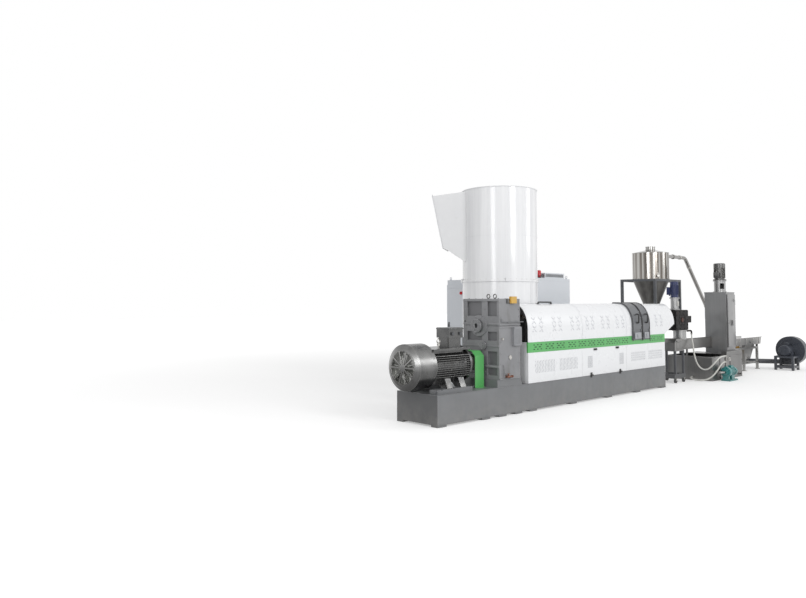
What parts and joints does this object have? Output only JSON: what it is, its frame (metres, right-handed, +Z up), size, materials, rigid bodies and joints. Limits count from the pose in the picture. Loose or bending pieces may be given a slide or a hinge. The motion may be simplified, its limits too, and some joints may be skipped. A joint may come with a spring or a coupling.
{
  "type": "plastic pelletizing machine",
  "caption": "Plastic pelletizing line: compactor drum and covered extruder, water cooled cutter head, dewatering tower with door, vibrating sieve, blower and pellet silo.",
  "frame": {"origin": "centre of the footprint, on the floor under the feet", "axes": "+X along the line from the main motor to the blower, +Y to the back where the drum stands, +Z up"},
  "size_m": [12.165, 3.7352, 3.392],
  "materials": {
    "base_grey": "satin",
    "beacon_red": "gloss",
    "blower_blue": "semi-gloss",
    "cabinet_grey": "fine texture",
    "cast_grey": "satin",
    "cover_white": "semi-gloss",
    "dark_steel": "satin",
    "drum_white": "gloss",
    "hose_white": "satin",
    "hot_iron": "matt",
    "motor_blue": "semi-gloss",
    "motor_grey": "satin",
    "orange": "satin",
    "pump_teal": "gloss",
    "stainless": "brushed",
    "vent_green": "semi-gloss",
    "yellow": "gloss"
  },
  "bodies": {
    "line": {"base_frame": "base_grey", "base_pads": "base_grey", "beacon": "beacon_red", "blower_casing": "blower_blue", "blower_duct": "dark_steel", "blower_motor": "blower_blue", "blower_stand": "blower_blue", "cabinet_body": "cabinet_grey", "cabinet_cooler": "cabinet_grey", "cabinet_doors": "cabinet_grey", "compactor_stand": "base_grey", "conveying_pipe": "stainless", "coupling_guard": "vent_green", "cutter_motor": "motor_blue", "cutter_spacer": "stainless", "degassing_covers": "dark_steel", "die_head": "hot_iron", "discharge_box": "stainless", "drum_flange": "drum_white", "drum_floor": "drum_white", "drum_lid": "drum_white", "drum_lower": "drum_white", "drum_upper": "drum_white", "feed_chute": "drum_white", "feed_hose": "hose_white", "feed_throat": "cast_grey", "gearbox_covers": "cast_grey", "gearbox_fittings": "yellow", "gearbox_housing": "cast_grey", "hood_cover": "cover_white", "motor_fan_cowl": "motor_grey", "motor_frame": "motor_grey", "motor_stool": "stainless", "motor_terminal_box": "motor_grey", "pellet_spout": "stainless", "pellet_trough": "stainless", "pelletizer_stand": "dark_steel", "pump": "pump_teal", "pump_pipes": "stainless", "return_hose": "hose_white", "screw_barrel": "hot_iron", "shaft_coupling": "hot_iron", "side_panels": "cover_white", "sieve_frame": "stainless", "sieve_tray": "stainless", "sieve_vibrator": "orange", "silo_cone": "stainless", "silo_lid": "stainless", "silo_shell": "stainless", "silo_stand": "dark_steel", "tower_body": "stainless", "tower_hinges": "stainless", "tower_motor": "motor_grey", "tower_outlet": "stainless", "vent_stripes": "vent_green", "water_inlet": "hot_iron", "water_ring": "stainless", "water_tank": "stainless"},
    "door": {"tower_door": "stainless"}
  },
  "joints": [
    {"name": "tower_door_hinge", "type": "hinge", "parent": "line", "child": "door", "pos_m": [3.4, -1.23, 1.2], "axis": [0, 0, 1], "range_deg": [0, 110]}
  ]
}
